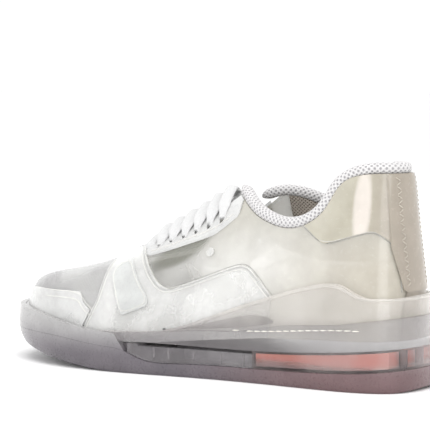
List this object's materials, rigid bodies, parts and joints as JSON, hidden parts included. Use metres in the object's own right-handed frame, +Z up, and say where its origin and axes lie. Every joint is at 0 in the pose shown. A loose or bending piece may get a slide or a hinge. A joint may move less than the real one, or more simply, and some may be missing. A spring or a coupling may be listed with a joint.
{
  "type": "low-top trainer",
  "caption": "Left low-top trainer with a see-through moulded upper, padded mesh collar, flat lacing, and a smoky cup sole with a tinted air unit in the heel.",
  "frame": {"origin": "on the ground, under the middle of the shoe's bounding box", "axes": "+X from heel to toe, +Y to the outer (lateral) side of the left foot, +Z up"},
  "size_m": [0.3044, 0.117, 0.1348],
  "materials": {
    "rubber_smoke": "translucent purple-grey",
    "sole_clear": "smoky clear",
    "shank": "dark smoky",
    "air_clear": "clear",
    "air_tint": "translucent orange-red",
    "sole_frost": "frosted clear",
    "cup_clear": "clear",
    "board": "woven board",
    "foam": "open-cell foam",
    "mesh_cloth": "perforated mesh",
    "tpu_clear": "milky clear",
    "tpu_frost": "frosted clear",
    "white_backing": "white",
    "tpu_white": "white translucent",
    "binding_mesh": "knitted mesh over padding",
    "lace_web": "flat woven",
    "thread": "twisted thread"
  },
  "bodies": {
    "shoe": {"outsole": "rubber_smoke", "toe_bumper": "rubber_smoke", "midsole": "sole_clear", "shank_plate": "shank", "air_unit": "air_clear", "air_unit_core": "air_tint", "air_unit_posts": "shank", "cupsole": "sole_frost", "heel_cup": "cup_clear", "arch_wing_lateral": "shank", "arch_wing_medial": "shank", "strobel_board": "board", "toe_box": "tpu_clear", "vamp_lining": "mesh_cloth", "toe_cap": "tpu_frost", "quarter_lateral": "tpu_clear", "quarter_medial": "tpu_clear", "saddle_lateral": "tpu_frost", "saddle_medial": "tpu_frost", "side_patch_lateral": "tpu_frost", "side_patch_medial": "tpu_frost", "arch_insert_lateral": "white_backing", "arch_insert_medial": "white_backing", "eyestay_lateral": "tpu_white", "eyestay_medial": "tpu_white", "side_rivets": "tpu_white", "heel_overlay_lateral": "tpu_clear", "heel_overlay_medial": "tpu_clear", "back_strip": "tpu_frost", "heel_counter": "white_backing", "collar_pad_lateral": "foam", "collar_pad_medial": "foam", "collar_lining_lateral": "mesh_cloth", "collar_lining_medial": "mesh_cloth", "collar_binding": "binding_mesh", "lace": "lace_web", "sidewall_stitching": "thread"},
    "tongue": {"tongue_shell": "tpu_clear", "tongue_padding": "foam", "tongue_lining": "mesh_cloth", "tongue_binding": "binding_mesh"},
    "footbed": {"footbed": "foam", "footbed_cover": "mesh_cloth"}
  },
  "joints": [
    {"name": "tongue_swing", "type": "hinge", "parent": "shoe", "child": "tongue", "pos_m": [0.06504, -0.00077, 0.065], "axis": [0, -1, 0], "range_deg": [0, 6], "stiffness_Nm_per_rad": 0.6},
    {"name": "footbed_lift", "type": "hinge", "parent": "shoe", "child": "footbed", "pos_m": [0.13704, -0.00077, 0.0304], "axis": [0, 1, 0], "range_deg": [0, 2.4]}
  ]
}
